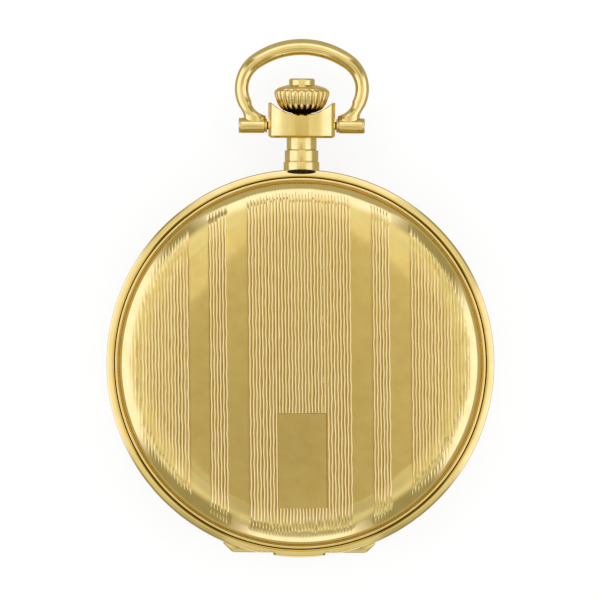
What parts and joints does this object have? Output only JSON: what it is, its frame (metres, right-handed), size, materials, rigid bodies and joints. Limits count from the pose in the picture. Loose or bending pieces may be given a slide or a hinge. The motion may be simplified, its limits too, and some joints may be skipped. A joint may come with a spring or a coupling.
{
  "type": "full hunter pocket watch",
  "caption": "Round hunter pocket watch with hinged front lid and back cover, pendant, swinging bow, fluted crown with lid button, dial, hands and wound movement inside.",
  "frame": {"origin": "On the case axis, on the flat face of the back cover that the watch rests on.", "axes": "+X to the right seen from the front, +Y towards the pendant and bow, +Z out of the front lid."},
  "size_m": [0.047, 0.0628, 0.0124],
  "materials": {
    "gold_plate": "polished gold plate over brass, engine turned on the lid",
    "steel": "polished and brushed steel",
    "plated_movement": "rhodium plated brass with fine stripes",
    "gilt_brass": "gilt brass, circular grained",
    "blued_steel": "heat blued steel",
    "crystal": "clear mineral glass",
    "dial_enamel": "white enamel with printed black numerals",
    "ruby": "polished synthetic ruby",
    "seal": "black rubber"
  },
  "bodies": {
    "case": {"case_band": "gold_plate", "pendant": "gold_plate", "bow_screws": "steel", "front_hinge_pin": "steel", "back_hinge_pin": "steel", "bezel": "gold_plate", "crystal": "crystal", "lift_spring": "steel", "spring_screws": "blued_steel", "movement_ring": "plated_movement", "case_screws": "blued_steel", "main_plate": "plated_movement", "barrel_bridge": "plated_movement", "train_bridge": "plated_movement", "pallet_cock": "plated_movement", "balance_cock": "plated_movement", "bridge_screws": "blued_steel", "jewels": "ruby", "click_spring": "steel", "dial": "dial_enamel", "regulator": "steel"},
    "front_lid": {"front_lid": "gold_plate"},
    "back_cover": {"back_cover": "gold_plate"},
    "bow": {"bow": "gold_plate"},
    "crown_slide": {"crown_seal": "seal"},
    "crown": {"crown": "gold_plate", "winding_stem": "steel"},
    "button": {"lid_button": "gold_plate", "push_rod": "steel", "cross_pin": "steel", "push_collar": "steel", "button_spring": "steel"},
    "lock_spring": {"lock_spring": "steel"},
    "stem_pinions": {"winding_pinion": "steel", "sliding_pinion": "steel"},
    "crown_wheel": {"crown_wheel": "steel"},
    "ratchet": {"ratchet_wheel": "steel", "barrel_arbor": "steel"},
    "click": {"click": "steel"},
    "setting_lever": {"setting_lever": "steel"},
    "yoke_lever": {"yoke_lever": "steel"},
    "barrel": {"barrel": "gilt_brass", "mainspring": "steel"},
    "centre": {"centre_wheel": "gilt_brass", "cannon_pinion": "steel", "minute_hand": "blued_steel"},
    "third": {"third_wheel": "gilt_brass"},
    "fourth": {"fourth_wheel": "gilt_brass", "second_hand": "blued_steel"},
    "escape": {"escape_wheel": "steel"},
    "minute_wheel": {"minute_wheel": "gilt_brass"},
    "hour_wheel": {"hour_wheel": "gilt_brass", "hour_hand": "blued_steel"},
    "setting_wheel": {"setting_wheel": "steel"},
    "pallet_fork": {"pallet_fork": "steel"},
    "balance": {"balance_wheel": "gilt_brass", "hairspring": "blued_steel"}
  },
  "joints": [
    {"name": "front_lid_hinge", "type": "hinge", "parent": "case", "child": "front_lid", "pos_m": [0, -0.02185, 0.00815], "axis": [1, 0, 0], "range_deg": [0, 90]},
    {"name": "back_cover_hinge", "type": "hinge", "parent": "case", "child": "back_cover", "pos_m": [0, -0.02185, 0.00365], "axis": [-1, 0, 0], "range_deg": [0, 75]},
    {"name": "bow_swing", "type": "hinge", "parent": "case", "child": "bow", "pos_m": [0, 0.02884, 0.0059], "axis": [1, 0, 0], "range_deg": [-120, 120]},
    {"name": "crown_pull", "type": "slide", "parent": "case", "child": "crown_slide", "axis": [0, 1, 0], "range_m": [0, 0.0008]},
    {"name": "crown_turn", "type": "hinge", "parent": "crown_slide", "child": "crown", "pos_m": [0, 0.02884, 0.0059], "axis": [0, 1, 0], "continuous": true},
    {"name": "button_press", "type": "slide", "parent": "crown", "child": "button", "axis": [0, -1, 0], "range_m": [0, 0.0006], "stiffness_N_per_m": 300, "springref_m": -0.0005, "deforming": ["button_spring"]},
    {"name": "lock_spring_flex", "type": "hinge", "parent": "case", "child": "lock_spring", "pos_m": [0.01398, 0.01398, 0.0059], "axis": [0, 0, 1], "range_deg": [0, 1.4]},
    {"name": "stem_pinions_turn", "type": "hinge", "parent": "case", "child": "stem_pinions", "pos_m": [0, 0.015, 0.0059], "axis": [0, 1, 0], "continuous": true},
    {"name": "crown_wheel_turn", "type": "hinge", "parent": "case", "child": "crown_wheel", "pos_m": [0, 0.011, 0.0032], "axis": [0, 0, 1], "continuous": true},
    {"name": "ratchet_turn", "type": "hinge", "parent": "case", "child": "ratchet", "pos_m": [0.0074, 0.00428, 0.0032], "axis": [0, 0, 1], "continuous": true},
    {"name": "click_lift", "type": "hinge", "parent": "case", "child": "click", "pos_m": [0.01376, 0.0003, 0.0032], "axis": [0, 0, -1], "range_deg": [0, 8], "stiffness_Nm_per_rad": 0.000001, "springref_deg": -5.73},
    {"name": "setting_lever_tilt", "type": "hinge", "parent": "case", "child": "setting_lever", "pos_m": [0.0036, 0.01555, 0.0073], "axis": [0, 0, -1], "range_deg": [0, 18]},
    {"name": "yoke_lever_tilt", "type": "hinge", "parent": "case", "child": "yoke_lever", "pos_m": [-0.0052, 0.0142, 0.0073], "axis": [0, 0, -1], "range_deg": [0, 9]},
    {"name": "centre_turn", "type": "hinge", "parent": "case", "child": "centre", "pos_m": [0, 0, 0.005], "axis": [0, 0, -1], "continuous": true},
    {"name": "barrel_turn", "type": "hinge", "parent": "case", "child": "barrel", "pos_m": [0.0074, 0.00428, 0.005], "axis": [0, 0, -1], "continuous": true},
    {"name": "third_turn", "type": "hinge", "parent": "case", "child": "third", "pos_m": [-0.00491, -0.00527, 0.005], "axis": [0, 0, -1], "continuous": true},
    {"name": "fourth_turn", "type": "hinge", "parent": "case", "child": "fourth", "pos_m": [0, -0.009, 0.005], "axis": [0, 0, -1], "continuous": true},
    {"name": "escape_turn", "type": "hinge", "parent": "case", "child": "escape", "pos_m": [0.0044, -0.0123, 0.005], "axis": [0, 0, -1], "continuous": true},
    {"name": "minute_wheel_turn", "type": "hinge", "parent": "case", "child": "minute_wheel", "pos_m": [0, 0.004, 0.0074], "axis": [0, 0, -1], "continuous": true},
    {"name": "hour_wheel_turn", "type": "hinge", "parent": "case", "child": "hour_wheel", "pos_m": [0, 0, 0.0077], "axis": [0, 0, -1], "continuous": true},
    {"name": "setting_wheel_turn", "type": "hinge", "parent": "case", "child": "setting_wheel", "pos_m": [0, 0.009, 0.0074], "axis": [0, 0, -1], "continuous": true},
    {"name": "pallet_rock", "type": "hinge", "parent": "case", "child": "pallet_fork", "pos_m": [0.0068, -0.01096, 0.0054], "axis": [0, 0, 1], "range_deg": [-5, 5]},
    {"name": "balance_swing", "type": "hinge", "parent": "case", "child": "balance", "pos_m": [0.0096, -0.0094, 0.0039], "axis": [0, 0, 1], "range_deg": [-270, 270], "stiffness_Nm_per_rad": 0.0000005, "deforming": ["hairspring"]}
  ],
  "couplings": [
    {"joint": "lock_spring_flex", "follows": "button_press", "rad_per_m": 35.758},
    {"joint": "stem_pinions_turn", "follows": "crown_turn", "ratio": 1},
    {"joint": "crown_wheel_turn", "follows": "crown_turn", "ratio": 0.5},
    {"joint": "ratchet_turn", "follows": "crown_turn", "ratio": -0.33333},
    {"joint": "setting_lever_tilt", "follows": "crown_pull", "rad_per_m": 370},
    {"joint": "yoke_lever_tilt", "follows": "crown_pull", "rad_per_m": 180},
    {"joint": "barrel_turn", "follows": "centre_turn", "ratio": -0.125},
    {"joint": "third_turn", "follows": "centre_turn", "ratio": -8},
    {"joint": "fourth_turn", "follows": "centre_turn", "ratio": 60},
    {"joint": "escape_turn", "follows": "centre_turn", "ratio": -600},
    {"joint": "minute_wheel_turn", "follows": "centre_turn", "ratio": -0.33333},
    {"joint": "hour_wheel_turn", "follows": "centre_turn", "ratio": 0.083333},
    {"joint": "setting_wheel_turn", "follows": "centre_turn", "ratio": 0.5}
  ]
}
